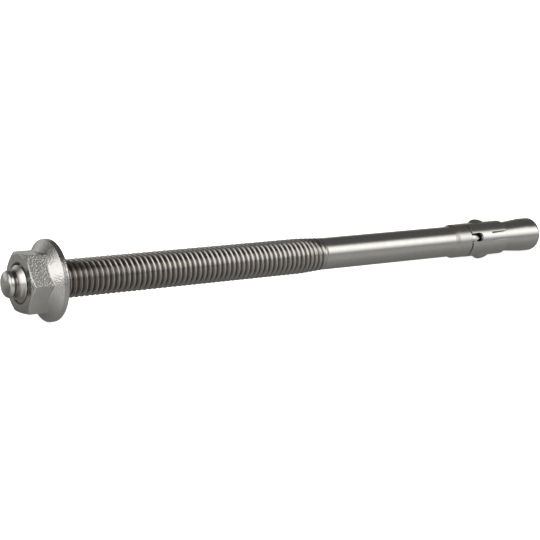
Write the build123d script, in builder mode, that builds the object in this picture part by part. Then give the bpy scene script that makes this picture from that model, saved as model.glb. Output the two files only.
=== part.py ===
from build123d import *
import math
import os

# A wedge anchor for concrete, in three pieces: a cold-forged bolt with a rolled
# thread at one end and a cone at the other, a clip rolled from sheet that lies
# round the bolt's neck, and a hex flange nut.
#
# The X axis is the bolt's axis. The origin is on it, in the plane of the nut's
# bearing face, which seats on the fixture. +X runs into the drilled hole, and +Z
# is up as the anchor lies on a bench. Sizes are millimetres and degrees. Angles
# about the bolt are measured from +Z, turning towards -Y.

# ---- Driving dimensions: bolt --------------------------------------------------

thread_diameter = 12.7  # 1/2-13 UNC, modelled as a plain cylinder at the crests
thread_reach = 98.0  # full thread, from the bearing face towards the cone
thread_runout = 6.5  # fades from the crests down to the shank
thread_stickout = 0.7  # full thread standing out of the nut
thread_chamfer_length = 1.3
thread_end_round = 4.0
nub_diameter = 9.0  # domed end that takes the hammer blows
nub_dome_height = 2.5
nub_edge_round = 1.5
nub_barrel_length = 0.2
nub_waist_length = 0.8
nub_waist_depth = 0.4
shank_diameter = 11.5
shank_length = 63.3
shank_start_round = 8.0
collar_diameter = 12.8
collar_length = 7.8
collar_ramp_length = 1.5
collar_foot_round = 0.6
collar_crest_round = 0.8
collar_back_chamfer = 0.4
neck_diameter = 9.3
neck_length = 8.9
neck_root_round = 0.8
cone_length = 21.0
cone_diameter = 12.85
cone_foot_round = 6.0
land_length = 6.6  # from the cone's wide end to the bolt's end
land_round = 12.0
end_round = 2.5

# ---- Driving dimensions: clip --------------------------------------------------

clip_sheet = 1.0
clip_length = 17.5
clip_end_play = 0.6  # between the collar and the clip
clip_running_clearance = 0.05  # between the clip's bore and the cone, at its end
clip_seam_gap = 1.2
clip_front_edge_chamfer = 0.2
clip_rear_edge_chamfer = 0.35
clip_slot_angle = 65.0
notch_width = 3.5
notch_depth = 4.8
slot_width = 3.6
slot_length = 7.8
slot_corner_round = 0.4
lug_angle = 90.0  # each side of the slots
lug_setback = 3.4  # from the clip's collar edge
lug_length = 8.8
lug_peak_distance = 3.3  # from the lug's collar end to its highest point
lug_height = 1.2
lug_half_width = 2.2

# ---- Driving dimensions: nut ---------------------------------------------------

nut_height = 11.5
across_flats = 18.9
hex_corner_angle = 80.0  # as the nut has come to rest
nut_face_diameter = 18.9
nut_chamfer_angle = 30.0
nut_bore_clearance = 0.05  # round the thread's crests
nut_mouth_chamfer = 0.7
nut_seat_chamfer = 0.6
flange_diameter = 26.8
flange_rim_thickness = 2.1
flange_slope = 36.0
flange_front_chamfer = 0.3
flange_back_round = 0.7

# ---- Radii and stations that follow from them ----------------------------------

thread_r = thread_diameter / 2
nub_r = nub_diameter / 2
shank_r = shank_diameter / 2
collar_r = collar_diameter / 2
neck_r = neck_diameter / 2
cone_r = cone_diameter / 2
flange_r = flange_diameter / 2

thread_start_x = -(nut_height + thread_stickout)
chamfer_start_x = thread_start_x - thread_chamfer_length
nub_barrel_x = chamfer_start_x - nub_waist_length
nub_dome_x = nub_barrel_x - nub_barrel_length
tip_x = nub_dome_x - nub_dome_height

shank_start_x = thread_reach + thread_runout
collar_start_x = shank_start_x + shank_length
collar_end_x = collar_start_x + collar_length
cone_start_x = collar_end_x + neck_length
land_start_x = cone_start_x + cone_length
bolt_end_x = land_start_x + land_length

# The dome is a crown that runs into a rounded edge, tangent to it and to the barrel.
edge_inset = nub_r - nub_edge_round
crown_r = (nub_dome_height**2 + edge_inset**2 - nub_edge_round**2) / (
    2 * (nub_dome_height - nub_edge_round)
)
crown_angle = math.degrees(math.atan2(edge_inset, crown_r - nub_dome_height))

clip_start_x = collar_end_x + clip_end_play
clip_end_x = clip_start_x + clip_length


def cone_radius(x):
    """Radius of the bolt at station x, between the neck and the cone's wide end."""
    share = (x - cone_start_x) / cone_length
    return neck_r + (cone_r - neck_r) * min(max(share, 0.0), 1.0)


# The clip's cone end sits over the start of the cone.
clip_inner_r = cone_radius(clip_end_x) + clip_running_clearance
clip_outer_r = clip_inner_r + clip_sheet


def radial_plane(angle):
    """Plane through the axis: local x along the bolt, local y outwards at the angle."""
    out = Vector(0, -math.sin(math.radians(angle)), math.cos(math.radians(angle)))
    return Plane(origin=(0, 0, 0), x_dir=(1, 0, 0), z_dir=Vector(1, 0, 0).cross(out))


def facing_plane(angle):
    """Plane through the axis that looks outwards at the angle, local x along the bolt."""
    out = Vector(0, -math.sin(math.radians(angle)), math.cos(math.radians(angle)))
    return Plane(origin=(0, 0, 0), x_dir=(1, 0, 0), z_dir=out)


# ---- Bolt: one forging, revolved from a single outline -------------------------

# station, radius and rounding of each corner from the thread's start to the end face
bolt_corners = (
    (thread_start_x, thread_r, 0),
    (thread_reach, thread_r, thread_end_round),
    (shank_start_x, shank_r, shank_start_round),
    (collar_start_x, shank_r, collar_foot_round),
    (collar_start_x + collar_ramp_length, collar_r, collar_crest_round),
    (collar_end_x - collar_back_chamfer, collar_r, 0),
    (collar_end_x, collar_r - collar_back_chamfer, 0),
    (collar_end_x, neck_r, neck_root_round),
    (cone_start_x, neck_r, cone_foot_round),
    (land_start_x, cone_r, land_round),
    (bolt_end_x, cone_r, end_round),
)

with BuildPart() as anchor_bolt:
    with BuildSketch(Plane.XY):
        with BuildLine():
            crown = CenterArc((tip_x + crown_r, 0), crown_r, 180, -crown_angle)
            TangentArc(crown @ 1, (nub_dome_x, nub_r), tangent=crown % 1)
            Line((nub_dome_x, nub_r), (nub_barrel_x, nub_r))
            Polyline(
                (nub_barrel_x, nub_r),
                (nub_barrel_x + nub_waist_length / 2, nub_r - nub_waist_depth),
                (chamfer_start_x, nub_r),
            )
            FilletPolyline(
                (chamfer_start_x, nub_r),
                *[(station, radius) for station, radius, _ in bolt_corners],
                (bolt_end_x, 0),
                radius=[rounding for _, _, rounding in bolt_corners],
            )
            Line((bolt_end_x, 0), (tip_x, 0))
        make_face()
    revolve(axis=Axis.X)

anchor_bolt.part.label = "anchor_bolt"

# ---- Clip: a strip of sheet rolled round the neck ------------------------------

with BuildPart() as expansion_clip:
    # rolled strip, still closed
    with BuildSketch(Plane.YZ.offset(clip_start_x)):
        Circle(clip_outer_r)
        Circle(clip_inner_r, mode=Mode.SUBTRACT)
    extrude(amount=clip_length)
    rims = expansion_clip.edges().filter_by(GeomType.CIRCLE).group_by(SortBy.RADIUS)[-1]
    chamfer(rims.sort_by(Axis.X)[0], length=clip_front_edge_chamfer)
    rims = expansion_clip.edges().filter_by(GeomType.CIRCLE).group_by(SortBy.RADIUS)[-1]
    chamfer(rims.sort_by(Axis.X)[-1], length=clip_rear_edge_chamfer)

    # lugs pressed out of the sheet, one on each wing
    lug_axis_r = clip_outer_r + lug_height - lug_half_width
    lug_start_x = clip_start_x + lug_setback
    lug_peak_x = lug_start_x + lug_peak_distance
    lug_end_x = lug_start_x + lug_length
    for side in (-1, 1):
        plane = radial_plane(clip_slot_angle + side * lug_angle)
        lug_axis = Axis(plane.from_local_coords((0, lug_axis_r, 0)), (1, 0, 0))
        for offset, mode in ((0.0, Mode.ADD), (clip_sheet, Mode.SUBTRACT)):
            peak = (lug_peak_x, lug_axis_r + lug_half_width - offset)
            foot = (lug_start_x + offset, lug_axis_r)
            tail = (lug_end_x - offset, lug_axis_r)
            with BuildSketch(plane):
                with BuildLine():
                    TangentArc(peak, foot, tangent=(-1, 0))
                    TangentArc(peak, tail, tangent=(1, 0))
                    Line(foot, tail)
                make_face()
            revolve(axis=lug_axis, mode=mode)

    # clear the bore of what the lugs left in it
    with BuildSketch(Plane.YZ.offset(clip_start_x)):
        Circle(clip_inner_r)
    extrude(amount=clip_length, mode=Mode.SUBTRACT)

    # notch with a round end, open towards the collar
    notch_r = notch_width / 2
    with BuildSketch(facing_plane(clip_slot_angle)):
        with Locations((clip_start_x, 0)):
            Rectangle(2 * (notch_depth - notch_r), notch_width)
        with Locations((clip_start_x + notch_depth - notch_r, 0)):
            Circle(notch_r)
    extrude(amount=2 * clip_outer_r, mode=Mode.SUBTRACT)

    # slot open towards the cone
    with BuildSketch(facing_plane(clip_slot_angle)):
        with Locations((clip_end_x, 0)):
            RectangleRounded(2 * slot_length, slot_width, slot_corner_round)
    extrude(amount=2 * clip_outer_r, mode=Mode.SUBTRACT)

    # seam where the strip's two ends face each other
    with BuildSketch(facing_plane(clip_slot_angle + 180)):
        with Locations(((clip_start_x + clip_end_x) / 2, 0)):
            Rectangle(2 * clip_length, clip_seam_gap)
    extrude(amount=2 * clip_outer_r, mode=Mode.SUBTRACT)

expansion_clip.part.label = "expansion_clip"

# ---- Nut: hexagon on a sloped flange -------------------------------------------

with BuildPart() as flange_nut:
    corner_r = across_flats / 2 / math.cos(math.radians(30))
    face_r = nut_face_diameter / 2
    bore_r = thread_r + nut_bore_clearance
    chamfer_run = (flange_r - face_r) * math.tan(math.radians(nut_chamfer_angle))
    slope_run = (flange_r - bore_r) * math.tan(math.radians(flange_slope))
    edge_run = flange_front_chamfer * math.tan(math.radians(flange_slope))

    # hexagon, its outer corners turned off at the chamfer angle
    with BuildSketch(Plane.YZ.offset(-nut_height)):
        RegularPolygon(
            across_flats / 2,
            side_count=6,
            major_radius=False,
            rotation=hex_corner_angle - 90,
        )
    extrude(amount=nut_height - flange_rim_thickness)
    with BuildSketch(Plane.XY):
        with BuildLine():
            Polyline(
                (-nut_height, 0),
                (-nut_height, face_r),
                (-nut_height + chamfer_run, flange_r),
                (0, flange_r),
                (0, 0),
                (-nut_height, 0),
            )
        make_face()
    revolve(axis=Axis.X, mode=Mode.INTERSECT)

    # flange: sloped front, round rim, flat bearing face
    with BuildSketch(Plane.XY):
        with BuildLine():
            FilletPolyline(
                (-flange_rim_thickness - slope_run, bore_r),
                (-flange_rim_thickness - edge_run, flange_r - flange_front_chamfer),
                (-flange_rim_thickness + edge_run, flange_r),
                (0, flange_r),
                (0, bore_r),
                radius=[0, 0, flange_back_round],
            )
            Line((0, bore_r), (-flange_rim_thickness - slope_run, bore_r))
        make_face()
    revolve(axis=Axis.X)

    # bore, with a chamfer at each mouth
    with BuildSketch(Plane.XY):
        with BuildLine():
            Polyline(
                (-nut_height, 0),
                (-nut_height, bore_r + nut_mouth_chamfer),
                (-nut_height + nut_mouth_chamfer, bore_r),
                (-nut_seat_chamfer, bore_r),
                (0, bore_r + nut_seat_chamfer),
                (0, 0),
                (-nut_height, 0),
            )
        make_face()
    revolve(axis=Axis.X, mode=Mode.SUBTRACT)

flange_nut.part.label = "flange_nut"

# ---- Output --------------------------------------------------------------------

os.makedirs("parts", exist_ok=True)
for piece in (anchor_bolt, expansion_clip, flange_nut):
    export_step(piece.part, f"parts/{piece.part.label}.step")
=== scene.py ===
"""Looks of a wedge anchor: a threaded bolt, its hex flange nut and its expansion clip.

Lengths are millimetres and turn into metres where a mesh is made, but the studio's are
metres. Angles about the bolt are degrees from +Z, turning towards -Y, which is the
thread's own turn.
"""

import logging
import math
import sys
from collections import Counter
from dataclasses import dataclass
from enum import Enum
from typing import Callable, Optional, Sequence, Union

import bpy
import numpy as np
from mathutils import Matrix, Vector


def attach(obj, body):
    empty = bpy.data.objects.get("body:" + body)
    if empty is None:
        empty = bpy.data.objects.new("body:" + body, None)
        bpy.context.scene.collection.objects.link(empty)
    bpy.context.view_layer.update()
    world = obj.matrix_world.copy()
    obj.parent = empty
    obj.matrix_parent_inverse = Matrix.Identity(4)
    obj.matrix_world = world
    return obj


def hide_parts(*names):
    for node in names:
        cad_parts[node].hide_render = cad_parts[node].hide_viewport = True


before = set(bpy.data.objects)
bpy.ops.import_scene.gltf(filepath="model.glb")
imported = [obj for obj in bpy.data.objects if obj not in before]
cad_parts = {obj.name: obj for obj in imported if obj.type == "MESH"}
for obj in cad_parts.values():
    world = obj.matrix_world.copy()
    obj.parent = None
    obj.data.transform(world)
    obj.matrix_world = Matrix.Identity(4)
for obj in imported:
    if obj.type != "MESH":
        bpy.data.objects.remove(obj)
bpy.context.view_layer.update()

LOG = logging.getLogger("wedge_anchor")

MM = 0.001
WELD_GAP = 0.004  # mm
SEGMENTS = 96  # columns round every turned piece
SHARP_ANGLE = math.radians(32)
TOUCH = 0.01  # mm, within which a point lies on an end

Station = tuple[float, float]
Ramp = tuple[float, float]  # start and width
Corner = tuple[float, float, float]  # station, radius and rounding
Point = tuple[float, float, float]
Array = np.ndarray
Polar = tuple[Array, Array, Array]  # stations in mm, angles in degrees, radii in mm
Move = Callable[[Array, Array, Array], Polar]
Piece = bpy.types.Object
Socket = bpy.types.NodeSocket


class Body(Enum):
    """The moving bodies of the anchor."""

    BOLT = "bolt"
    NUT = "nut"
    CLIP = "clip"


class Pick(Enum):
    """What an edit selects."""

    VERT = "VERT"
    EDGE = "EDGE"
    FACE = "FACE"


# ---- Mesh work ----


class Bench:
    """The workbench: takes up one piece at a time and opens or closes it."""

    @staticmethod
    def take(piece: Piece) -> None:
        """Selects one piece alone and makes it active.

        Args:
            piece: The piece.
        """
        bpy.ops.object.select_all(action="DESELECT")
        piece.select_set(True)
        bpy.context.view_layer.objects.active = piece

    @staticmethod
    def edit(pick: Pick = Pick.VERT) -> None:
        """Opens the piece taken up for editing and keeps its selection."""
        bpy.ops.object.mode_set(mode="EDIT")
        bpy.ops.mesh.select_mode(type=pick.value)

    @staticmethod
    def open(piece: Piece, pick: Pick = Pick.VERT, whole: bool = True) -> None:
        """Opens a piece for editing with the whole of it selected, or nothing.

        Args:
            piece: The piece.
            pick: The kind of element that edits select.
            whole: Whether the whole piece is selected.
        """
        Bench.take(piece)
        Bench.edit(pick)
        bpy.ops.mesh.select_all(action="SELECT" if whole else "DESELECT")

    @staticmethod
    def close() -> None:
        """Leaves edit mode."""
        bpy.ops.object.mode_set(mode="OBJECT")

    @staticmethod
    def settle(piece: Piece, name: str) -> Piece:
        """Names a new primitive and puts its place into its mesh.

        Args:
            piece: The primitive.
            name: Its name.

        Returns:
            The piece.
        """
        piece.name = piece.data.name = name
        Bench.take(piece)
        bpy.ops.object.transform_apply(location=True, rotation=True, scale=True)
        return piece

    @staticmethod
    def apply(piece: Piece, modifier: bpy.types.Modifier) -> None:
        """Applies a modifier to its piece."""
        Bench.take(piece)
        bpy.ops.object.modifier_apply(modifier=modifier.name)

    @staticmethod
    def unselect(mesh: bpy.types.Mesh) -> None:
        """Selects nothing in a mesh, in object mode."""
        for group in (mesh.vertices, mesh.edges, mesh.polygons):
            group.foreach_set("select", [False] * len(group))

    @staticmethod
    def weld(pieces: Sequence[Piece]) -> Piece:
        """Joins surfaces that share their rims into one closed piece.

        Args:
            pieces: The surfaces. The first one keeps its name.

        Returns:
            The closed piece, its faces turned outwards.
        """
        first = pieces[0]
        Bench.take(first)
        for other in pieces[1:]:
            other.select_set(True)
        bpy.ops.object.join()
        Bench.open(first)
        bpy.ops.mesh.remove_doubles(threshold=WELD_GAP * MM)
        Bench.close()
        Bench.face_out(first)
        return first

    @staticmethod
    def face_out(piece: Piece) -> None:
        """Turns a closed piece's faces outwards.

        Args:
            piece: The piece.
        """
        Bench.open(piece)
        bpy.ops.mesh.normals_make_consistent(inside=False)
        Bench.close()
        if Bench.volume(piece) < 0:
            Bench.open(piece)
            bpy.ops.mesh.flip_normals()
            Bench.close()

    @staticmethod
    def volume(piece: Piece) -> float:
        """Volume in mm3, below 0 where the faces look inward.

        Args:
            piece: The piece, closed.

        Returns:
            The volume, by the signed tetrahedra from the origin to its triangles.
        """
        mesh = piece.data
        mesh.calc_loop_triangles()
        co = np.array([v.co for v in mesh.vertices]) / MM
        corners = np.array([t.vertices for t in mesh.loop_triangles])
        a, b, c = (co[corners[:, k]] for k in range(3))
        return float((a * np.cross(b, c)).sum() / 6)

    @staticmethod
    def smooth(piece: Piece) -> None:
        """Shades a piece smooth, apart from sharp edges, and keeps its flats flat.

        Args:
            piece: The piece.
        """
        Bench.take(piece)
        bpy.ops.object.shade_smooth_by_angle(angle=SHARP_ANGLE)
        even = piece.modifiers.new("even", "WEIGHTED_NORMAL")
        even.keep_sharp = True
        even.weight = 80
        Bench.apply(piece, even)

    @staticmethod
    def round_edges(piece: Piece, roundings: Sequence[float]) -> None:
        """Rounds each edge of a piece by its own width.

        Args:
            piece: The piece.
            roundings: The width for each of its edges, in mm.
        """
        width = max(roundings)
        weights = piece.data.attributes.new("bevel_weight_edge", "FLOAT", "EDGE")
        weights.data.foreach_set("value", [r / width for r in roundings])
        bevel = piece.modifiers.new("soften", "BEVEL")
        bevel.width = width * MM
        bevel.limit_method = "WEIGHT"
        bevel.segments = 3
        Bench.apply(piece, bevel)

    @staticmethod
    def dress(piece: Piece, material: bpy.types.Material) -> None:
        """Gives a piece its one material."""
        piece.data.materials.clear()
        piece.data.materials.append(material)

    @staticmethod
    def open_edges(piece: Piece) -> int:
        """Counts the edges that don't join exactly two faces.

        Args:
            piece: The piece.

        Returns:
            How many there are.
        """
        mesh = piece.data
        uses = np.empty(len(mesh.loops), np.int32)
        mesh.loops.foreach_get("edge_index", uses)
        return int((np.bincount(uses, minlength=len(mesh.edges)) != 2).sum())


def rounded(corners: Sequence[Corner], steps: int = 6) -> list[Station]:
    """Rounds the corners of a turned outline.

    Args:
        corners: The outline's corners. Its ends have no rounding.
        steps: Chords in each rounding.

    Returns:
        The outline's stations and radii.
    """
    outline: list[Station] = []
    for i, (x, r, rounding) in enumerate(corners):
        if rounding == 0 or i in (0, len(corners) - 1):
            outline.append((x, r))
            continue
        here = Vector((x, r))
        back = (Vector(corners[i - 1][:2]) - here).normalized()
        ahead = (Vector(corners[i + 1][:2]) - here).normalized()
        half = back.angle(ahead) / 2
        reach = rounding / math.tan(half)
        centre = here + (back + ahead).normalized() * rounding / math.sin(half)
        start, end = here + back * reach - centre, here + ahead * reach - centre
        sweep = start.angle(end)
        for k in range(steps + 1):
            share = k / steps
            spoke = (
                start * math.sin((1 - share) * sweep) + end * math.sin(share * sweep)
            ) / math.sin(sweep)
            outline.append(tuple(centre + spoke))
    return outline


def turn(
    name: str,
    outline: Sequence[Station],
    first_angle: float = 0.0,
    pole_start: Optional[float] = None,
    pole_end: Optional[float] = None,
) -> Piece:
    """Turns an outline about the X axis by extruding and resizing one circle.

    Args:
        name: The piece's name.
        outline: Stations and radii in order, in mm.
        first_angle: Turns the columns about the axis, in degrees.
        pole_start: Station of a pole that closes the first ring, if any.
        pole_end: Station of a pole that closes the last ring, if any.

    Returns:
        The turned surface.
    """
    x, r = outline[0]
    bpy.ops.mesh.primitive_circle_add(
        vertices=SEGMENTS,
        radius=r * MM,
        fill_type="NOTHING" if pole_start is None else "TRIFAN",
        location=(x * MM, 0, 0),
        rotation=(0, math.pi / 2, 0),
    )
    piece = Bench.settle(bpy.context.object, name)
    Bench.unselect(piece.data)
    for vertex in piece.data.vertices:
        vertex.select = vertex.co.yz.length > r * MM / 2
        if not vertex.select:
            vertex.co.x = pole_start * MM
    Bench.edit()
    for next_x, next_r in outline[1:]:
        bpy.ops.mesh.extrude_region_move(
            TRANSFORM_OT_translate={"value": ((next_x - x) * MM, 0, 0)}
        )
        bpy.ops.transform.resize(value=(1, next_r / r, next_r / r))
        x, r = next_x, next_r
    if pole_end is not None:
        bpy.ops.mesh.extrude_region_move(
            TRANSFORM_OT_translate={"value": ((pole_end - x) * MM, 0, 0)}
        )
        bpy.ops.mesh.merge(type="CENTER")
    Bench.close()
    piece.data.transform(Matrix.Rotation(math.radians(first_angle), 4, "X"))
    return piece


def reshape(piece: Piece, move: Move) -> None:
    """Moves a piece's points in stations, angles and radii.

    Args:
        piece: The piece.
        move: Gives the new places from the old ones.
    """
    mesh = piece.data
    flat = np.empty(len(mesh.vertices) * 3)
    mesh.vertices.foreach_get("co", flat)
    co = flat.reshape(-1, 3) / MM
    angle = np.degrees(np.arctan2(-co[:, 1], co[:, 2]))
    x, angle, r = move(co[:, 0], angle, np.hypot(co[:, 1], co[:, 2]))
    turned = np.radians(angle)
    co = np.stack([x, -r * np.sin(turned), r * np.cos(turned)], axis=1) * MM
    mesh.vertices.foreach_set("co", co.ravel())
    mesh.update()


# ---- Shader work ----

Number = Union[float, "Wire"]
Colour = tuple[float, float, float]
Stop = tuple[float, Colour]


class Wire:
    """A number socket whose arithmetic adds Math nodes."""

    def __init__(self, graph: "Graph", socket: Socket) -> None:
        """Keeps the graph and the socket."""
        self.graph = graph
        self.socket = socket

    def maths(self, operation: str, *others: Number, clamp: bool = False) -> "Wire":
        """Adds a Math node with this wire as its first value."""
        return self.graph.maths(operation, self, *others, clamp=clamp)

    def __add__(self, other: Number) -> "Wire":
        """self + other."""
        return self.maths("ADD", other)

    __radd__ = __add__

    def __sub__(self, other: Number) -> "Wire":
        """self - other."""
        return self.maths("SUBTRACT", other)

    def __rsub__(self, other: Number) -> "Wire":
        """other - self."""
        return self.graph.maths("SUBTRACT", other, self)

    def __mul__(self, other: Number) -> "Wire":
        """self * other."""
        return self.maths("MULTIPLY", other)

    __rmul__ = __mul__

    def __truediv__(self, other: Number) -> "Wire":
        """self / other."""
        return self.maths("DIVIDE", other)

    def __pow__(self, other: Number) -> "Wire":
        """self ** other."""
        return self.maths("POWER", other)

    def clamped(self) -> "Wire":
        """This wire, kept from 0 to 1."""
        return self.maths("ADD", 0.0, clamp=True)

    def ramp(self, start: float, width: float) -> "Wire":
        """0 up to a start and 1 a width beyond it, which is negative to go down."""
        return ((self - start) / width).clamped()

    def within(self, start: float, end: float, rise: float, fall: float) -> "Wire":
        """0 outside a start and an end, with ramps just inside them."""
        return self.ramp(start, rise) * self.ramp(end, -fall)


class Graph:
    """The nodes of one material or world."""

    def __init__(self, owner: Union[bpy.types.Material, bpy.types.World]) -> None:
        """Gives a material or a world an empty tree.

        Args:
            owner: The material or the world.
        """
        owner.use_nodes = True
        self.tree = owner.node_tree
        self.tree.nodes.clear()

    def add(
        self,
        kind: str,
        inputs: Optional[dict[Union[str, int], object]] = None,
        **settings: object,
    ) -> bpy.types.Node:
        """Adds a node.

        Args:
            kind: The node's type.
            inputs: Wires, sockets, numbers or colours for its inputs.
            **settings: Its properties, or a ramp's stops, which are set first.

        Returns:
            The new node.
        """
        node = self.tree.nodes.new(kind)
        for key, value in settings.items():
            if key == "stops":
                Graph.set_stops(node.color_ramp, value)
            else:
                setattr(node, key, value)
        for key, value in (inputs or {}).items():
            value = value.socket if isinstance(value, Wire) else value
            if isinstance(value, Socket):
                self.tree.links.new(value, node.inputs[key])
            else:
                colour = isinstance(value, tuple)
                node.inputs[key].default_value = (*value, 1.0) if colour else value
        return node

    @staticmethod
    def set_stops(ramp: bpy.types.ColorRamp, stops: Sequence[Stop]) -> None:
        """Gives a ramp its stops.

        Args:
            ramp: The ramp.
            stops: Position and colour of each stop.
        """
        while len(ramp.elements) > 1:
            ramp.elements.remove(ramp.elements[-1])
        for k, (at, colour) in enumerate(stops):
            stop = ramp.elements.new(at) if k else ramp.elements[0]
            stop.position = at
            stop.color = (*colour, 1.0)

    def maths(self, operation: str, *values: Number, clamp: bool = False) -> Wire:
        """Adds a Math node.

        Args:
            operation: What it does.
            *values: Its numbers and wires.
            clamp: Whether it keeps its result from 0 to 1.

        Returns:
            Its result.
        """
        inputs = dict(enumerate(values))
        settings = {"operation": operation, "use_clamp": clamp}
        return Wire(self, self.add("ShaderNodeMath", inputs, **settings).outputs[0])

    def places(self) -> tuple[Wire, Wire, Wire, Socket]:
        """Object coordinates, in millimetres, as three wires and a vector.

        Returns:
            X, Y, Z and the vector.
        """
        source = self.add("ShaderNodeTexCoord").outputs["Object"]
        inputs = {0: source, 3: 1 / MM}
        scale = self.add("ShaderNodeVectorMath", inputs, operation="SCALE")
        scaled = scale.outputs[0]
        split = self.add("ShaderNodeSeparateXYZ", {0: scaled})
        x, y, z = (Wire(self, split.outputs[k]) for k in range(3))
        return x, y, z, scaled

    def vector(self, x: Number, y: Number, z: Number) -> Socket:
        """Puts three numbers together."""
        return self.add("ShaderNodeCombineXYZ", {0: x, 1: y, 2: z}).outputs[0]

    def noise(
        self, place: Socket, scale: float, detail: float, roughness: float
    ) -> Wire:
        """Adds a noise of about 0 to 1.

        Args:
            place: Where it is looked up.
            scale: Its grains for each millimetre.
            detail: Octaves added to the first.
            roughness: Strength of each octave next to the one before.

        Returns:
            The noise.
        """
        node = self.add(
            "ShaderNodeTexNoise",
            {"Vector": place, "Scale": scale, "Detail": detail, "Roughness": roughness},
        )
        return Wire(self, node.outputs["Fac"])

    def mix(self, share: Number, first: object, second: object) -> Socket:
        """Mixes two colours."""
        inputs = {0: share, 6: first, 7: second}
        return self.add("ShaderNodeMix", inputs, data_type="RGBA").outputs[2]

    def show(
        self, shader: bpy.types.Node, kind: str = "ShaderNodeOutputMaterial"
    ) -> None:
        """Sends a shader to the output."""
        self.add(kind, {"Surface": shader.outputs[0]})


CLOUD_SCALE = 0.35  # clouds for each millimetre
LINE_SCALE = 1.4  # lines for each grain
SCRATCH_SCALE = 2.6  # scratches for each millimetre
SCRATCH_RAMP = (0.70, 1 / 9)  # of the noise
# Each row gives one coordinate of the scratches' own space
SCRATCH_SLANT = ((0.12, 0.4, 0.0), (0.0, 1.7, 0.0), (0.05, 0.0, 1.7))
# How far clouds, grain and dullness make the colour dull, and what it starts from
CLOUD_SHADE, GRAIN_SHADE, DULL_SHADE, SHADE_START = 0.7, 0.3, 0.6, -0.25
# How far a zone's painted shade and the bolt thread's tint darken the colour, and how
# far clouds vary it
DARKENING_SHARE, CLOUD_DARKENING = 0.8, 0.4
DULL_ROUGHNESS, SCRATCH_ROUGHNESS = 0.10, 0.05
SCRATCH_DEPTH = 0.8  # of the lines' depth

WHITE, WARM_WHITE, PAPER = (1.0, 1.0, 1.0), (1.0, 0.985, 0.95), (0.8, 0.8, 0.8)

Zones = Callable[[Wire, Wire], tuple[Wire, Wire]]


@dataclass(frozen=True)
class SteelFinish:
    """A satin steel surface."""

    name: str
    dull_colour: Colour
    roughness: float
    line_stretch: float  # how much longer than wide the drawn or turned lines are
    colour: Colour = (0.66, 0.655, 0.64)
    shade_and_tint_colour: Colour = (0.10, 0.09, 0.08)  # colour of the painted shade in hollows, and of the bolt thread's darker tint
    roughness_spread: float = 0.10
    grain: float = 4.0  # grains for each millimetre
    grain_depth: float = 0.002  # mm
    line_depth: float = 0.003  # mm

    def material(self, zones: Zones) -> bpy.types.Material:
        """Makes the material.

        Args:
            zones: Gives from the station and the radius how dull each place is and how
            far it is darkened by painted shade (on the bolt's thread also by a darker
            tint), 0 to 1.

        Returns:
            The material.
        """
        material = bpy.data.materials.new(self.name)
        graph = Graph(material)
        x, y, z, place = graph.places()
        dull, dark = zones(x, (y * y + z * z) ** 0.5)

        cloud = graph.noise(place, CLOUD_SCALE, detail=3.0, roughness=0.55)
        fine = graph.noise(place, self.grain, detail=0.4, roughness=0.5)
        lined = graph.vector(x / self.line_stretch, y, z)
        line_scale = self.grain * LINE_SCALE
        lines = graph.noise(lined, line_scale, detail=2.0, roughness=0.6)
        slanted = graph.vector(*(x * a + y * b + z * c for a, b, c in SCRATCH_SLANT))
        scratch = graph.noise(slanted, SCRATCH_SCALE, detail=1.0, roughness=0.4)
        scratch = scratch.ramp(*SCRATCH_RAMP)

        shade = cloud * CLOUD_SHADE + fine * GRAIN_SHADE + dull * DULL_SHADE
        shade = (shade + SHADE_START).clamped()
        colour = graph.mix(shade, self.colour, self.dull_colour)
        # Painted shade in hollows, and on the bolt's thread a darker tint, mixed
        # towards the dark colour
        darkening = (dark * (DARKENING_SHARE + cloud * CLOUD_DARKENING)).clamped()
        colour = graph.mix(darkening, colour, self.shade_and_tint_colour)
        rough = self.roughness + (cloud + lines - 1.0) * self.roughness_spread
        rough = rough + dull * DULL_ROUGHNESS + scratch * SCRATCH_ROUGHNESS
        height = fine * self.grain_depth
        height = height + (lines - scratch * SCRATCH_DEPTH) * self.line_depth
        inputs = {"Strength": 1.0, "Distance": MM, "Height": height}
        bump = graph.add("ShaderNodeBump", inputs)
        shader = graph.add(
            "ShaderNodeBsdfPrincipled",
            {
                "Base Color": colour,
                "Metallic": 1.0,
                "Roughness": rough.clamped(),
                "Normal": bump.outputs["Normal"],
            },
        )
        graph.show(shader)
        return material


BOLT_STEEL = SteelFinish(
    name="bolt_steel",
    dull_colour=(0.54, 0.535, 0.52),
    roughness=0.20,
    line_stretch=14.0,
    shade_and_tint_colour=(0.15, 0.12, 0.098),
    line_depth=0.004,
)
NUT_STEEL = SteelFinish(
    name="nut_steel",
    dull_colour=(0.48, 0.475, 0.465),
    roughness=0.14,
    line_stretch=1.5,
    colour=(0.62, 0.615, 0.60),
    grain=2.3,
    grain_depth=0.075,
)
CLIP_STEEL = SteelFinish(
    name="clip_steel",
    dull_colour=(0.55, 0.545, 0.53),
    roughness=0.22,
    line_stretch=6.0,
    roughness_spread=0.08,
)


# ---- Thread ----


def mirrored(half: list[Station], top: float) -> list[Station]:
    """Half a pitch of rows, the radius in its middle, and the half turned round."""
    return half + [(0.5, top)] + [(1 - u, r) for u, r in half[::-1]]


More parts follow.
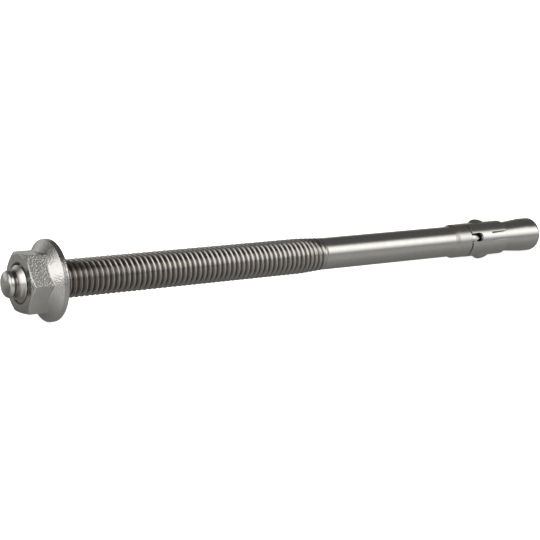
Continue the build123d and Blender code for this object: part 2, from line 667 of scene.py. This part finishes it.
@dataclass(frozen=True)
class ScrewThread:
    """A right-handed 60 degree thread, 1/2-13 UNC, as it is rolled."""

    pitch: float = 25.4 / 13
    crest_radius: float = 6.35
    root_rounding: float = 0.144  # of the pitch
    crest_station: float = 52.3455  # a crest at angle 0
    nut_clearance: float = 0.06

    @property
    def pitch_radius(self) -> float:
        """Radius where thread and gap are equally wide."""
        return self.crest_radius - 0.3248 * self.pitch

    def bolt_rows(self) -> list[Station]:
        """Share of a pitch from a root, and radius, over one pitch of the bolt.

        Returns:
            The rows, a root at both ends.
        """
        rise = self.pitch * math.sqrt(3)
        bend = self.root_rounding * self.pitch
        tangent = bend * math.sin(math.radians(60)) / self.pitch
        foot = self.pitch_radius + (tangent - 0.25) * rise
        root = foot - bend * 0.5
        half = [
            (0.0, root),
            (0.07, root + 0.045),
            (tangent, foot),
            (0.27, self.pitch_radius + 0.02 * rise),
            (0.41, self.pitch_radius + 0.16 * rise),
            (0.447, self.crest_radius - 0.022),
        ]
        return mirrored(half, self.crest_radius)

    def nut_rows(self) -> list[Station]:
        """Share of a pitch from a bolt root, and radius, over one pitch of the nut.

        Returns:
            The rows, clear of the bolt's.
        """
        rise = self.pitch * math.sqrt(3)
        shift = self.nut_clearance * 2

        def flank(share: float) -> float:
            """Radius on the nut's flank, clear of the bolt's."""
            return self.pitch_radius + (share - 0.25) * rise + shift

        crest = self.pitch_radius - 0.25
        start = 0.25 + (crest - shift - self.pitch_radius) / rise
        half = [
            (0.0, crest),
            (start - 0.03, crest + 0.005),
            (start + 0.02, flank(start + 0.02)),
            (0.40, flank(0.40)),
            (0.445, self.crest_radius + self.nut_clearance + 0.03),
        ]
        return mirrored(half, self.crest_radius + self.nut_clearance + 0.05)

    def wind(
        self,
        name: str,
        rows: Sequence[Station],
        span: Station,
        move: Move,
        first_angle: float = 0.0,
    ) -> Piece:
        """Winds one pitch of rows into a helical surface and moves it into shape.

        Args:
            name: The piece's name.
            rows: Shares of a pitch from a root, and radii.
            span: Stations that the surface has to reach.
            move: Moves its points, as in reshape.
            first_angle: Angle of the first column, in degrees.

        Returns:
            The helical surface, its turns not yet welded.
        """
        start = self.crest_station + self.pitch * (first_angle / 360 - 0.5)
        start -= self.pitch * math.ceil((start - span[0]) / self.pitch + 1)
        turned = math.radians(first_angle)
        out = Vector((0, -math.sin(turned), math.cos(turned)))
        points = [
            (Vector((start + share * self.pitch, 0, 0)) + out * r) * MM
            for share, r in rows
        ]
        bpy.ops.mesh.primitive_plane_add(size=MM, location=points[0])
        piece = Bench.settle(bpy.context.object, name)
        Bench.open(piece)
        bpy.ops.mesh.merge(type="CENTER")
        for here, there in zip(points, points[1:]):
            bpy.ops.mesh.extrude_vertices_move(
                TRANSFORM_OT_translate={"value": there - here}
            )
        Bench.close()
        screw = piece.modifiers.new("wind", "SCREW")
        screw.axis = "X"
        screw.angle = 2 * math.pi
        screw.screw_offset = self.pitch * MM
        screw.iterations = math.ceil((span[1] - start) / self.pitch)
        screw.steps = screw.render_steps = SEGMENTS
        screw.use_merge_vertices = False
        Bench.apply(piece, screw)
        reshape(piece, move)
        return piece


# ---- Bolt ----


@dataclass
class Bolt:
    """The forged bolt: domed end, thread, shank, collar, neck and cone."""

    thread: ScrewThread
    tip: float = -17.0
    nub_radius: float = 4.45
    dome_height: float = 2.2
    dome_edge_rounding: float = 1.5
    pole_share: float = 0.06  # of the crown's arc, within the pole's triangles
    waist_depth: float = 0.45
    thread_start: float = -13.1  # foot of the end chamfer
    chamfer_end: float = -11.6
    fade_start: float = 97.5
    groove_fade_start: float = 103.5
    fade_end: float = 107.4
    thread_end: float = 107.8
    shank_radius: float = 5.75
    collar_start: float = 167.8
    collar_ramp: float = 1.5
    collar_end: float = 175.6
    collar_radius: float = 6.4
    neck_radius: float = 4.65
    cone_start: float = 184.5
    land_start: float = 205.5
    end: float = 212.1
    cone_radius: float = 6.425
    pole_radius: float = 0.4  # of the last ring round the end's middle
    groove_ramp: Ramp = (5.72, -0.3)  # radii over which painted shade fills the thread's roots
    thread_tint_with_nut_shade: float = 0.30
    nut_shade_ramp: Ramp = (0, 60)  # stations over which the painted shade of the nut fades from the thread
    nut_shade_share: float = 0.12
    root_painted_shade: float = 0.68
    waist_painted_shade: float = 0.75
    collar_dullness: float = 0.6
    finish: SteelFinish = BOLT_STEEL

    def front_outline(self) -> list[Station]:
        """Dome and waist, from the tip's pole to the thread's end chamfer.

        Returns:
            Stations and radii.
        """
        inset = self.nub_radius - self.dome_edge_rounding
        crown = (self.dome_height**2 + inset**2 - self.dome_edge_rounding**2) / (
            2 * (self.dome_height - self.dome_edge_rounding)
        )
        edge_x = self.tip + self.dome_height
        meet = math.atan2(inset, crown - self.dome_height)
        outline = [
            (self.tip + crown * (1 - math.cos(a)), crown * math.sin(a))
            for a in np.linspace(meet * self.pole_share, meet, 13).tolist()
        ]
        outline += [
            (
                edge_x - self.dome_edge_rounding * math.cos(a),
                inset + self.dome_edge_rounding * math.sin(a),
            )
            for a in np.linspace(meet, math.pi / 2, 9)[1:].tolist()
        ]
        length = self.thread_start - edge_x
        for share in np.linspace(0, 1, 13)[1:].tolist():
            dip = self.waist_depth * math.sin(math.pi * share)
            outline.append((edge_x + length * share, self.nub_radius - dip))
        return outline

    def rear_outline(self) -> list[Station]:
        """Shank, collar, neck, cone, land and end, from the thread's run-out.

        Returns:
            Stations and radii.
        """
        return rounded(
            [
                (self.thread_end, self.shank_radius, 0),
                (self.collar_start, self.shank_radius, 0.6),
                (self.collar_start + self.collar_ramp, self.collar_radius, 0.8),
                (self.collar_end, self.collar_radius, 0.45),
                (self.collar_end, self.neck_radius, 0.8),
                (self.cone_start, self.neck_radius, 6.0),
                (self.land_start, self.cone_radius, 12.0),
                (self.end, self.cone_radius, 2.5),
                (self.end, self.pole_radius, 0),
            ],
            steps=8,
        )

    def cut_thread(self) -> Piece:
        """The helical surface, cut to the end chamfer and faded into the shank.

        Returns:
            The surface, open at both ends.
        """
        slope = (self.thread.crest_radius - self.nub_radius) / (
            self.chamfer_end - self.thread_start
        )

        def move(x: Array, angle: Array, r: Array) -> Polar:
            """Keeps the thread between its ends.

            Args:
                x: Stations.
                angle: Angles.
                r: Radii.

            Returns:
                The new places.
            """
            x = np.clip(x, self.thread_start, self.thread_end)
            r = np.minimum(r, self.nub_radius + slope * (x - self.thread_start))
            start = np.where(
                r > self.shank_radius, self.fade_start, self.groove_fade_start
            )
            fade = np.clip((x - start) / (self.fade_end - start), 0, 1)
            return x, angle, r + (self.shank_radius - r) * fade

        span = self.thread_start, self.thread_end
        return self.thread.wind("bolt_thread", self.thread.bolt_rows(), span, move)

    def build(self) -> Piece:
        """Builds the bolt as one closed piece and dresses it.

        Returns:
            The bolt.
        """
        front = turn("bolt_forging", self.front_outline(), pole_start=self.tip)
        rear = turn("bolt_rear", self.rear_outline(), pole_end=self.end)
        piece = Bench.weld([front, rear, self.cut_thread()])
        Bench.smooth(piece)
        Bench.dress(piece, self.finish.material(self.zones))
        return piece

    def zones(self, x: Wire, radius: Wire) -> tuple[Wire, Wire]:
        """The collar is duller; the thread gets a darker tint with painted shade of the
        nut near it, and the waist and, most of all, the roots get painted shade.

        Args:
            x: The station.
            radius: The distance from the axis.

        Returns:
            How dull the place is, and how far it is darkened by tint and painted shade.
        """
        on_thread = x.within(self.chamfer_end, self.fade_end, rise=0.6, fall=2.5)
        # The thread's darker tint, with painted shade of the nut on the part near it
        tint_and_nut_shade = self.thread_tint_with_nut_shade - self.nut_shade_share * x.ramp(*self.nut_shade_ramp)
        # Painted shade in the thread's roots, where the flanks shade them
        root = radius.ramp(*self.groove_ramp) * self.root_painted_shade
        collar = x.within(self.collar_start, self.collar_end + 0.5, rise=2, fall=0.5)
        # Painted shade in the hollow of the waist behind the dome
        waist_start = self.tip + self.dome_height + 0.1
        waist = x.within(waist_start, self.thread_start + 0.4, rise=0.5, fall=0.6)
        dark = on_thread * (tint_and_nut_shade + root) + waist * self.waist_painted_shade
        return collar * self.collar_dullness, dark


# ---- Nut ----


@dataclass
class FlangeNut:
    """The hex flange nut, with its thread."""

    thread: ScrewThread
    height: float = 11.5
    across_flats: float = 18.9
    corner_angle: float = 80.0
    face_radius: float = 9.25
    chamfer_angle: float = 30.0
    flange_radius: float = 13.4
    flange_slope: float = 36.0
    rim: float = 2.1
    back_rounding: float = 0.7
    face_ring: int = 2
    hex_rings: tuple[int, int] = (3, 4)
    flange_ring: int = 5
    ring_roundings: tuple[float, ...] = (0.15, 0.5, 0.4, 0.45)  # of these rings
    corner_rounding: float = 0.5
    mouth_radius: float = 6.52
    seat_radius: float = 7.0
    face_dullness: float = 0.3
    bore_ramp: Ramp = (7.0, -1 / 3)
    bore_painted_shade: float = 0.8
    finish: SteelFinish = NUT_STEEL

    @property
    def first_angle(self) -> float:
        """Angle of the first column, so that a column runs along each hex corner."""
        return math.fmod(self.corner_angle, 360 / SEGMENTS)

    def hex_radius(self, angle: Array) -> Array:
        """Radius of the hexagon at an angle."""
        off = np.mod(angle - self.corner_angle, 60) - 30
        return self.across_flats / 2 / np.cos(np.radians(off))

    def outside(self) -> Piece:
        """Face, chamfer, flats, flange and bearing face, open at the bore.

        Returns:
            The surface.
        """
        rim_corner = -self.rim
        corners = [
            (-self.height, self.mouth_radius),
            (-self.height, (self.mouth_radius + self.face_radius) / 2),
            (-self.height, self.face_radius),
            (-self.height + 0.5, 10.0),  # this ring and the next become the hexagon
            (-4.4, 10.0),
            (rim_corner, self.flange_radius),
        ]
        back = rounded(
            [
                (rim_corner, self.flange_radius, 0),
                (0.0, self.flange_radius, self.back_rounding),
                (0.0, self.seat_radius, 0),
            ]
        )
        piece = turn("flange_nut_forging", corners + back[1:], self.first_angle)
        ring = np.arange(len(piece.data.vertices)) // SEGMENTS
        tangent = math.tan(math.radians(self.chamfer_angle))
        slope = math.tan(math.radians(self.flange_slope))

        def move(x: Array, angle: Array, r: Array) -> Polar:
            """Presses two rings to the hexagon.

            Args:
                x: Stations.
                angle: Angles.
                r: Radii.

            Returns:
                The new places.
            """
            flat = self.hex_radius(angle)
            chamfer = -self.height + (flat - self.face_radius) * tangent
            foot = rim_corner - (self.flange_radius - flat) * slope
            for number, station in zip(self.hex_rings, (chamfer, foot)):
                r = np.where(ring == number, flat, r)
                x = np.where(ring == number, station, x)
            return x, angle, r

        reshape(piece, move)
        self.soften(piece, ring)
        return piece

    def soften(self, piece: Piece, ring: Array) -> None:
        """Rounds the forged edges.

        Args:
            piece: The nut's outside.
            ring: Ring number of each vertex.
        """
        mesh = piece.data
        rings = self.face_ring, *self.hex_rings, self.flange_ring
        ring_rounding = dict(zip(rings, self.ring_roundings))
        roundings = []
        for edge in mesh.edges:
            a, b = (int(ring[i]) for i in edge.vertices)
            rounding = 0.0
            if a == b:
                rounding = ring_rounding.get(a, 0.0)
            elif {a, b} == set(self.hex_rings):
                co = mesh.vertices[edge.vertices[0]].co
                angle = math.degrees(math.atan2(-co.y, co.z))
                off = (angle - self.corner_angle + 30) % 60 - 30
                rounding = self.corner_rounding if abs(off) < 0.5 else 0.0
            roundings.append(rounding)
        Bench.round_edges(piece, roundings)

    def cut_thread(self) -> Piece:
        """The nut's thread, opened out at both mouths.

        Returns:
            The surface, open at both ends.
        """

        def move(x: Array, angle: Array, r: Array) -> Polar:
            """Keeps the thread between the mouths.

            Args:
                x: Stations.
                angle: Angles.
                r: Radii.

            Returns:
                The new places.
            """
            x = np.clip(x, -self.height, 0)
            front = self.mouth_radius - (x + self.height)
            back = self.seat_radius + x
            return x, angle, np.maximum(r, np.maximum(front, back))

        rows, span = self.thread.nut_rows(), (-self.height, 0.0)
        return self.thread.wind("nut_thread", rows, span, move, self.first_angle)

    def build(self) -> Piece:
        """Builds the nut as one closed piece and dresses it.

        Returns:
            The nut.
        """
        piece = Bench.weld([self.outside(), self.cut_thread()])
        Bench.smooth(piece)
        Bench.dress(piece, self.finish.material(self.zones))
        return piece

    def zones(self, x: Wire, radius: Wire) -> tuple[Wire, Wire]:
        """The face is duller, and the bore gets painted shade.

        Args:
            x: The station.
            radius: The distance from the axis.

        Returns:
            How dull the place is, and how much painted shade it gets.
        """
        face = x.ramp(0.25 - self.height, -1 / 6)
        # Painted shade in the bore
        return face * self.face_dullness, radius.ramp(*self.bore_ramp) * self.bore_painted_shade


# ---- Clip ----


@dataclass
class ExpansionClip:
    """The clip: a flat blank with a notch and a slot, lugs pressed in, rolled up."""

    start: float = 175.9
    length: float = 17.8
    sheet: float = 1.0
    outer_radius: float = 6.478
    slot_angle: float = 65.0
    seam_gap: float = 1.2
    notch_width: float = 3.5
    notch_depth: float = 5.1
    slot_width: float = 3.6
    slot_length: float = 7.8
    slot_corner: float = 0.4
    lug_angle: float = 90.0
    lug_start: float = 4.2
    lug_length: float = 8.2
    lug_peak: float = 2.6
    lug_height: float = 1.2
    lug_half_width: float = 2.2
    lug_blend: float = 0.25
    edge_rounding: float = 0.12
    end_rounding: float = 0.26
    cells_in_half_notch: int = 6
    snap_reach: float = 0.4  # from a cut, where the rim moves onto it
    smooth_reach: float = 0.9  # from a cut, where the mesh is evened
    lug_dullness: float = 0.6
    inside_painted_shade: float = 0.8
    finish: SteelFinish = CLIP_STEEL

    @property
    def middle_radius(self) -> float:
        """Radius of the middle of the sheet."""
        return self.outer_radius - self.sheet / 2

    def flat(self, width: float) -> float:
        """Half of an outside width, measured along the flat blank."""
        return self.middle_radius * math.asin(width / 2 / self.outer_radius)

    def cutout(self, x: float, y: float) -> float:
        """Measures a place on the blank against the notch and the slot.

        Args:
            x: Distance from the blank's front end.
            y: Distance from its middle line.

        Returns:
            Distance from the nearest cut-out's edge, negative inside it.
        """
        half = self.flat(self.notch_width)
        reach = x - (self.notch_depth - self.notch_width / 2)
        stretch = half / (self.notch_width / 2)
        notch = math.hypot(max(reach, 0.0) * stretch, y) - half
        corner = self.slot_corner
        across = abs(y) - self.flat(self.slot_width) + corner
        along = (self.length - self.slot_length) - x + corner
        beyond = math.hypot(max(across, 0.0), max(along, 0.0))
        return min(notch, beyond + min(max(across, along), 0.0) - corner)

    def snapped(self, x: float, y: float) -> Station:
        """Moves a point of the blank onto the nearest cut-out's edge.

        Args:
            x: Distance from the blank's front end.
            y: Distance from its middle line.

        Returns:
            The new point.
        """
        step = 0.01
        for _ in range(4):
            far = self.cutout(x, y)
            gx = (self.cutout(x + step, y) - self.cutout(x - step, y)) / (2 * step)
            gy = (self.cutout(x, y + step) - self.cutout(x, y - step)) / (2 * step)
            size = gx * gx + gy * gy or 1.0
            x, y = x - far * gx / size, y - far * gy / size
        return x, y

    def blank(self) -> Piece:
        """The flat blank, one face thick, with its notch and slot.

        Returns:
            The blank, in mm.
        """
        half_notch = self.flat(self.notch_width)
        cell = half_notch / self.cells_in_half_notch
        seam = self.middle_radius * math.asin(self.seam_gap / 2 / self.outer_radius)
        half = math.pi * self.middle_radius - seam
        rows, columns = round(self.length / cell), 2 * round(half / cell)
        bpy.ops.mesh.primitive_grid_add(
            x_subdivisions=rows, y_subdivisions=columns, size=1.0
        )
        piece = bpy.context.object
        piece.scale = (self.length, columns * cell, 1.0)
        piece.location.x = self.length / 2
        piece = Bench.settle(piece, "expansion_clip_sheet")
        widen = (half - half_notch) / (columns * cell / 2 - half_notch)
        for vertex in piece.data.vertices:
            beyond = abs(vertex.co.y) - half_notch
            if beyond > 0:
                wide = half_notch + beyond * widen
                vertex.co.y = math.copysign(wide, vertex.co.y)
        Bench.unselect(piece.data)
        for face in piece.data.polygons:
            face.select = self.cutout(*face.center.xy) < 0
        Bench.edit(Pick.FACE)
        bpy.ops.mesh.delete(type="FACE")
        Bench.close()
        self.trim(piece)
        return piece

    def trim(self, piece: Piece) -> None:
        """Draws the blank's stepped cuts onto their true lines and evens the mesh.

        Args:
            piece: The blank.
        """
        mesh = piece.data
        uses = Counter(key for face in mesh.polygons for key in face.edge_keys)
        rim = {i for key, count in uses.items() if count == 1 for i in key}
        for i in rim:
            co = mesh.vertices[i].co
            if self.cutout(co.x, co.y) < self.snap_reach:
                new_x, new_y = self.snapped(co.x, co.y)
                on_end = min(co.x, self.length - co.x) < TOUCH
                co.x, co.y = (co.x if on_end else new_x), new_y
        Bench.unselect(mesh)
        for v in mesh.vertices:
            near = self.cutout(v.co.x, v.co.y) < self.smooth_reach
            v.select = near and v.index not in rim
        Bench.edit()
        bpy.ops.mesh.vertices_smooth(factor=0.5, repeat=6)
        Bench.close()

    def press(self, x: float, y: float) -> float:
        """Height that the lugs' die gives to a place on the blank.

        Args:
            x: Distance from the blank's front end.
            y: Distance from its middle line.

        Returns:
            The height of the sheet there.
        """
        off = abs(y) / self.middle_radius - math.radians(self.lug_angle)
        centre = self.outer_radius + self.lug_height - self.lug_half_width
        along = x - self.lug_start - self.lug_peak
        reach = self.lug_peak if along < 0 else self.lug_length - self.lug_peak
        bend = (reach**2 + self.lug_half_width**2) / (2 * self.lug_half_width)
        if abs(along) >= bend:
            return 0.0
        ridge = self.lug_half_width - bend + math.sqrt(bend**2 - along**2)
        side = centre * math.sin(off)
        if ridge <= abs(side):
            return 0.0
        top = centre * math.cos(off) + math.sqrt(ridge**2 - side**2)
        rise = top - self.outer_radius
        blend = self.lug_blend
        return 0.5 * (rise + math.sqrt(rise * rise + blend * blend))

    def build(self) -> Piece:
        """Cuts, presses, thickens, rounds and rolls the clip, and dresses it.

        Returns:
            The clip.
        """
        piece = self.blank()
        mesh = piece.data
        for vertex in mesh.vertices:
            vertex.co.z = self.press(vertex.co.x, vertex.co.y)
        mesh.transform(Matrix.Scale(MM, 4))
        wall = piece.modifiers.new("sheet", "SOLIDIFY")
        wall.thickness = self.sheet * MM
        wall.offset = 0.0
        wall.use_even_offset = True
        Bench.apply(piece, wall)
        self.soften(piece)
        self.roll(piece)
        Bench.face_out(piece)
        Bench.smooth(piece)
        Bench.dress(piece, self.finish.material(self.zones))
        return piece

    def soften(self, piece: Piece) -> None:
        """Rounds the sheared edges, the outer end edges most.

        Args:
            piece: The flat clip.
        """
        Bench.open(piece, Pick.EDGE, whole=False)
        bpy.ops.mesh.edges_select_sharp(sharpness=math.radians(60))
        Bench.close()
        mesh = piece.data
        roundings = []
        for edge in mesh.edges:
            a, b = (mesh.vertices[i].co / MM for i in edge.vertices)
            outer = a.z + b.z > 0
            on_end = max(a.x, b.x) < TOUCH or min(a.x, b.x) > self.length - TOUCH
            rounding = self.end_rounding if outer and on_end else self.edge_rounding
            roundings.append(rounding if edge.select else 0.0)
        Bench.round_edges(piece, roundings)

    def roll(self, piece: Piece) -> None:
        """Rolls the flat blank round the bolt's neck.

        Args:
            piece: The flat clip.
        """
        for vertex in piece.data.vertices:
            x, y, z = vertex.co / MM
            turned = math.radians(self.slot_angle) + y / self.middle_radius
            r = self.middle_radius + z
            vertex.co = Vector(
                (self.start + x, -r * math.sin(turned), r * math.cos(turned))
            ) * MM
        piece.data.update()

    def zones(self, x: Wire, radius: Wire) -> tuple[Wire, Wire]:
        """The lugs are duller, and the inside gets painted shade.

        Args:
            x: The station.
            radius: The distance from the axis.

        Returns:
            How dull and how dark the place is.
        """
        lugs = radius.ramp(self.outer_radius + 0.1, self.sheet / 2)
        # Painted shade on the inside of the sheet, which faces the neck
        inside = radius.ramp(self.middle_radius, -self.sheet / 2)
        return lugs * self.lug_dullness, inside * self.inside_painted_shade


# ---- Studio ----


Bands = tuple[tuple[float, float], ...]  # angle about the anchor, and strength


@dataclass(frozen=True)
class Studio:
    """Floor, light tent, lamp and camera, in metres. Ramps are in mm or degrees."""

    floor_size: float = 6.0
    rim_touch: Station = (-0.0007, -0.0134)
    land_touch: Station = (0.2096, -0.006425)
    floor_glow: float = 0.86
    world_light: float = 0.55
    tent_radius: float = 0.6
    tent_start: float = -0.9
    tent_end: float = 2.1
    # angles go from the back over the top to the front
    panels: Bands = (
        (-90, 0.60), (-82, 0.48), (-74, 0.32), (-66, 0.15), (-55, 0.10),
        (0, 0.10), (62, 0.10), (80, 0.26), (90, 0.38),
    )
    soft_box: Bands = (
        (13, 0.0), (21, 0.25), (29.5, 1.15), (37, 1.52),
        (54, 1.6), (67, 0.9), (75, 0.36), (82, 0.0),
    )
    side_box: Bands = ((-50, 0.0), (-30, 0.85), (50, 0.85), (66, 0.0))
    side_box_ramp: Ramp = (-380, -120)  # where it takes the soft box's place
    box_gap: tuple[float, ...] = (100, 360, 50, 50)  # start, end and ramps
    gap_depth: float = 0.8
    behind_ramps: tuple[Ramp, Ramp] = ((0, -150), (-45, -25))  # stations, angles
    behind_glow: float = 0.25
    window_ramps: tuple[Ramp, Ramp] = ((0, 60), (330, -60))  # up, and to the back
    window: tuple[float, float] = (0.25, 1.35)  # beside the pane, and added on it
    card_size: float = 2.6
    card_lift: float = 0.00004
    # the card's light: everywhere, then added in front, beside the nut and behind
    card_light: tuple[float, ...] = (0.17, 0.23, 0.25, 0.16)
    card_ramps: tuple[Ramp, ...] = ((0, -22), (-2, -12), (8, 25))
    lamp_size: tuple[float, float] = (1.2, 0.8)
    lamp_power: float = 9.0  # W
    lamp_place: Point = (0.1, -0.35, 0.9)
    lamp_aim: Point = (0.1, 0.0, 0.0)
    camera_place: Point = (-0.211938, -0.407264, 0.149673)
    camera_look: Point = (0.56442, 0.77221, -0.29176)
    camera_up: Point = (0.08405, 0.29784, 0.95091)
    lens: float = 99.532  # mm

    def floor_matrix(self) -> Matrix:
        """Place of the floor's plane, under the flange's rim and the cone's land.

        Returns:
            The matrix of its place.
        """
        (x0, z0), (x1, z1) = self.rim_touch, self.land_touch
        slope = -math.atan2(z1 - z0, x1 - x0)
        return Matrix.Translation((x0, 0, z0)) @ Matrix.Rotation(slope, 4, "Y")

    def plane(self, name: str, matrix: Matrix, size: float) -> Piece:
        """Adds a square stage plane.

        Args:
            name: Its name.
            matrix: Its place.
            size: Its side.

        Returns:
            The plane.
        """
        bpy.ops.mesh.primitive_plane_add(size=size)
        piece = Bench.settle(bpy.context.object, name)
        piece.data.transform(matrix)
        return piece

    def backdrop_share(self, graph: Graph) -> Wire:
        """1 for the rays that see the background, 0 for those that carry its light.

        Args:
            graph: The background's graph.

        Returns:
            The share.
        """
        rays = graph.add("ShaderNodeLightPath").outputs
        seen = Wire(graph, rays["Is Camera Ray"]) + Wire(graph, rays["Is Glossy Ray"])
        return (seen + Wire(graph, rays["Is Transmission Ray"])).clamped()

    def floor(self) -> None:
        """Lays the pale floor, white to the camera apart from the anchor's shadow."""
        piece = self.plane("floor", self.floor_matrix(), self.floor_size)
        material = bpy.data.materials.new("pale_floor")
        graph = Graph(material)
        strength = self.backdrop_share(graph) * self.floor_glow
        glow = graph.add("ShaderNodeEmission", {"Color": WHITE, "Strength": strength})
        paper = graph.add("ShaderNodeBsdfDiffuse", {"Color": PAPER})
        surfaces = {0: glow.outputs[0], 1: paper.outputs[0]}
        graph.show(graph.add("ShaderNodeAddShader", surfaces))
        Bench.dress(piece, material)

    def world(self) -> None:
        """Makes the world white where it is seen and soft grey where it lights."""
        world = bpy.data.worlds.new("studio")
        bpy.context.scene.world = world
        graph = Graph(world)
        share = self.backdrop_share(graph)
        strength = self.world_light + (1 - self.world_light) * share
        inputs = {"Color": WHITE, "Strength": strength}
        light = graph.add("ShaderNodeBackground", inputs)
        graph.show(light, "ShaderNodeOutputWorld")

    def card(self, piece: Piece, strength: Callable[[Graph], Number]) -> None:
        """Makes a stage piece a card that only reflections see.

        Args:
            piece: The piece.
            strength: Adds its brightness to a graph.
        """
        material = bpy.data.materials.new(piece.name)
        graph = Graph(material)
        inputs = {"Color": WARM_WHITE, "Strength": strength(graph)}
        graph.show(graph.add("ShaderNodeEmission", inputs))
        Bench.dress(piece, material)
        for rays in ("camera", "diffuse", "shadow", "transmission"):
            setattr(piece, f"visible_{rays}", False)

    def bands(self, graph: Graph, angle: Wire, bands: Bands) -> Wire:
        """Brightness by angle about the anchor.

        Args:
            graph: The card's graph.
            angle: The angle, in degrees.
            bands: The table of angles and strengths.

        Returns:
            The strength at the angle.
        """
        stops = [((a + 90) / 180, (s / 2, s / 2, s / 2)) for a, s in bands]
        place = {"Fac": (angle + 90) / 180}
        ramp = graph.add("ShaderNodeValToRGB", place, stops=stops)
        return Wire(graph, ramp.outputs["Color"]) * 2.0

    def tent(self) -> None:
        """Hangs the light tent over the anchor: dark panels and a long soft box."""
        bpy.ops.mesh.primitive_cylinder_add(
            vertices=128,
            radius=self.tent_radius,
            depth=self.tent_end - self.tent_start,
            end_fill_type="NGON",
            location=((self.tent_start + self.tent_end) / 2, 0, 0),
            rotation=(0, math.pi / 2, 0),
        )
        piece = Bench.settle(bpy.context.object, "light_tent")

        def strength(graph: Graph) -> Wire:
            """Brightness of the tent's wall, and of the window in its near end.

            Args:
                graph: The tent's graph.

            Returns:
                The brightness.
            """
            x, y, z, _ = graph.places()
            angle = graph.maths("ARCTAN2", y * -1.0, z) * (180 / math.pi)
            box = self.bands(graph, angle, self.soft_box)
            box = box * (1 - x.within(*self.box_gap) * self.gap_depth)
            side = self.bands(graph, angle, self.side_box)
            aside = x.ramp(*self.side_box_ramp)
            along, about = self.behind_ramps
            behind = x.ramp(*along) * angle.ramp(*about) * self.behind_glow
            wall = self.bands(graph, angle, self.panels) + behind
            wall = wall + box * (1 - aside) + side * aside
            up, back = self.window_ramps
            base, added = self.window
            pane = base + added * (z.ramp(*up) * y.ramp(*back))
            end = x.ramp(self.tent_start / MM + 2, -1)
            return wall * (1 - end) + pane * end

        self.card(piece, strength)

    def reflector(self) -> None:
        """Lays a grey card on the floor, darker close to the anchor, where it carries a
        painted shadow of the anchor, and behind it.
        """
        matrix = Matrix.Translation((0, 0, self.card_lift)) @ self.floor_matrix()
        piece = self.plane("floor_card", matrix, self.card_size)

        def strength(graph: Graph) -> Wire:
            """Brightness by place.

            Args:
                graph: The card's graph.

            Returns:
                The brightness.
            """
            x, y, _, _ = graph.places()
            front, near_end, behind = self.card_ramps
            base, ahead, by_nut, back = self.card_light
            # Painted shadow of the anchor: the card stays darkest in a strip close to
            # it
            ahead = y.ramp(*front) * (ahead + by_nut * x.ramp(*near_end))
            return base + ahead + back * y.ramp(*behind)

        self.card(piece, strength)

    def lamps(self) -> None:
        """Hangs one wide soft lamp that lights the floor."""
        data = bpy.data.lights.new("soft_box", "AREA")
        data.shape = "RECTANGLE"
        data.size, data.size_y = self.lamp_size
        data.energy = self.lamp_power
        lamp = bpy.data.objects.new("soft_box", data)
        bpy.context.scene.collection.objects.link(lamp)
        lamp.location = self.lamp_place
        aim = Vector(self.lamp_aim) - lamp.location
        lamp.rotation_mode = "QUATERNION"
        lamp.rotation_quaternion = aim.to_track_quat("-Z", "Y")
        lamp.visible_glossy = False

    def camera(self) -> None:
        """Sets the camera."""
        data = bpy.data.cameras.new("camera")
        data.lens, data.sensor_width = self.lens, 36.0
        data.clip_start, data.clip_end = 0.01, 50.0
        camera = bpy.data.objects.new("camera", data)
        bpy.context.scene.collection.objects.link(camera)
        look, up = Vector(self.camera_look).normalized(), Vector(self.camera_up)
        right = look.cross(up).normalized()
        up = right.cross(look)
        turned = Matrix((right, up, -look)).transposed()
        camera.matrix_world = Matrix.Translation(self.camera_place) @ turned.to_4x4()
        bpy.context.scene.camera = camera

    def build(self) -> None:
        """Sets up the studio and the view."""
        bpy.context.scene.view_settings.view_transform = "Standard"
        self.world()
        self.floor()
        self.tent()
        self.reflector()
        self.lamps()
        self.camera()


# ---- Putting it together ----


def place(piece: Piece, body: Body, node: str, slot: str) -> None:
    """Lets a finished piece stand for its CAD node, and reports it.

    Args:
        piece: The finished piece.
        body: The body that it rides on.
        node: The CAD node that it replaces.
        slot: The record's material slot; not used.
    """
    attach(piece, body.value)
    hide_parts(node)
    triangles = sum(len(f.vertices) - 2 for f in piece.data.polygons)
    LOG.info(
        "%s: %d triangles, %d open edges, rides on %s",
        piece.name,
        triangles,
        Bench.open_edges(piece),
        body.value,
    )


def main() -> None:
    """Builds the anchor and its studio."""
    logging.basicConfig(level=logging.INFO, format="%(message)s", stream=sys.stdout)
    thread = ScrewThread()
    place(Bolt(thread).build(), Body.BOLT, "anchor_bolt", "bolt_steel")
    place(FlangeNut(thread).build(), Body.NUT, "flange_nut", "nut_steel")
    place(ExpansionClip().build(), Body.CLIP, "expansion_clip", "clip_steel")
    Studio().build()


if __name__ == "__main__":
    main()
